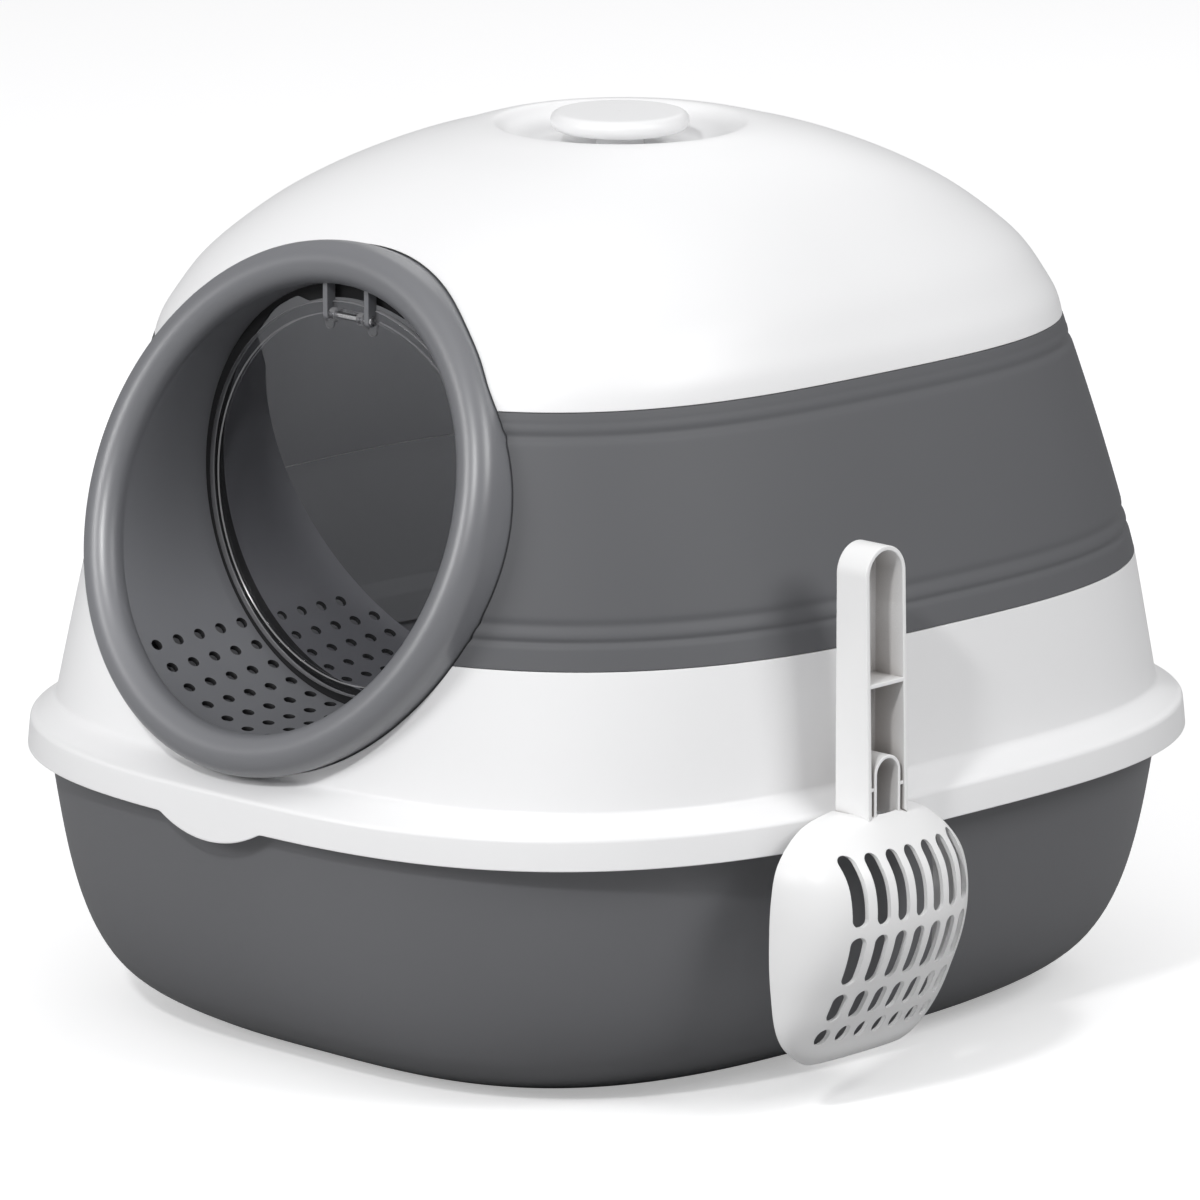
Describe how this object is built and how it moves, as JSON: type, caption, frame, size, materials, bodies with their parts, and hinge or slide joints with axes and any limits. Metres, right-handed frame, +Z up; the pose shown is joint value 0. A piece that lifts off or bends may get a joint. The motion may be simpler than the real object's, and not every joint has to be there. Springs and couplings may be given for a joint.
{
  "type": "hooded litter box",
  "caption": "Hooded folding litter box with a slanted round front entry, see-through swing flap, drip-hole tunnel, carrying knob and hanging slotted scoop.",
  "frame": {"origin": "middle of the tray's footprint, on the floor", "axes": "+Z up; the entry faces -Y; the scoop hangs on +X; symmetric about X=0 apart from the scoop"},
  "size_m": [0.5208, 0.5208, 0.4259],
  "materials": {
    "grey_shell": "fine matt",
    "white_shell": "satin",
    "band_soft": "matt",
    "smoke_clear": "clear",
    "steel": "bright"
  },
  "bodies": {
    "tray_body": {"tray": "grey_shell"},
    "hood_body": {"hood_base_ring": "white_shell", "fold_band": "band_soft", "hood_dome": "white_shell", "entry_tunnel_front": "grey_shell", "entry_tunnel_rear": "grey_shell", "flap_hinge_pin": "steel", "carry_knob": "white_shell", "knob_washer": "steel", "knob_screw": "steel"},
    "flap_body": {"entry_flap": "smoke_clear"},
    "scoop_body": {"scoop": "white_shell"}
  },
  "joints": [
    {"name": "hood_lift", "type": "slide", "parent": "tray_body", "child": "hood_body", "axis": [0, 0, 1], "range_m": [0, 0.25]},
    {"name": "flap_swing", "type": "hinge", "parent": "hood_body", "child": "flap_body", "pos_m": [0, -0.169, 0.3526], "axis": [1, 0, 0], "range_deg": [-50, 50]},
    {"name": "scoop_lift", "type": "slide", "parent": "hood_body", "child": "scoop_body", "axis": [0.342, 0, 0.9397], "range_m": [0, 0.2]}
  ]
}
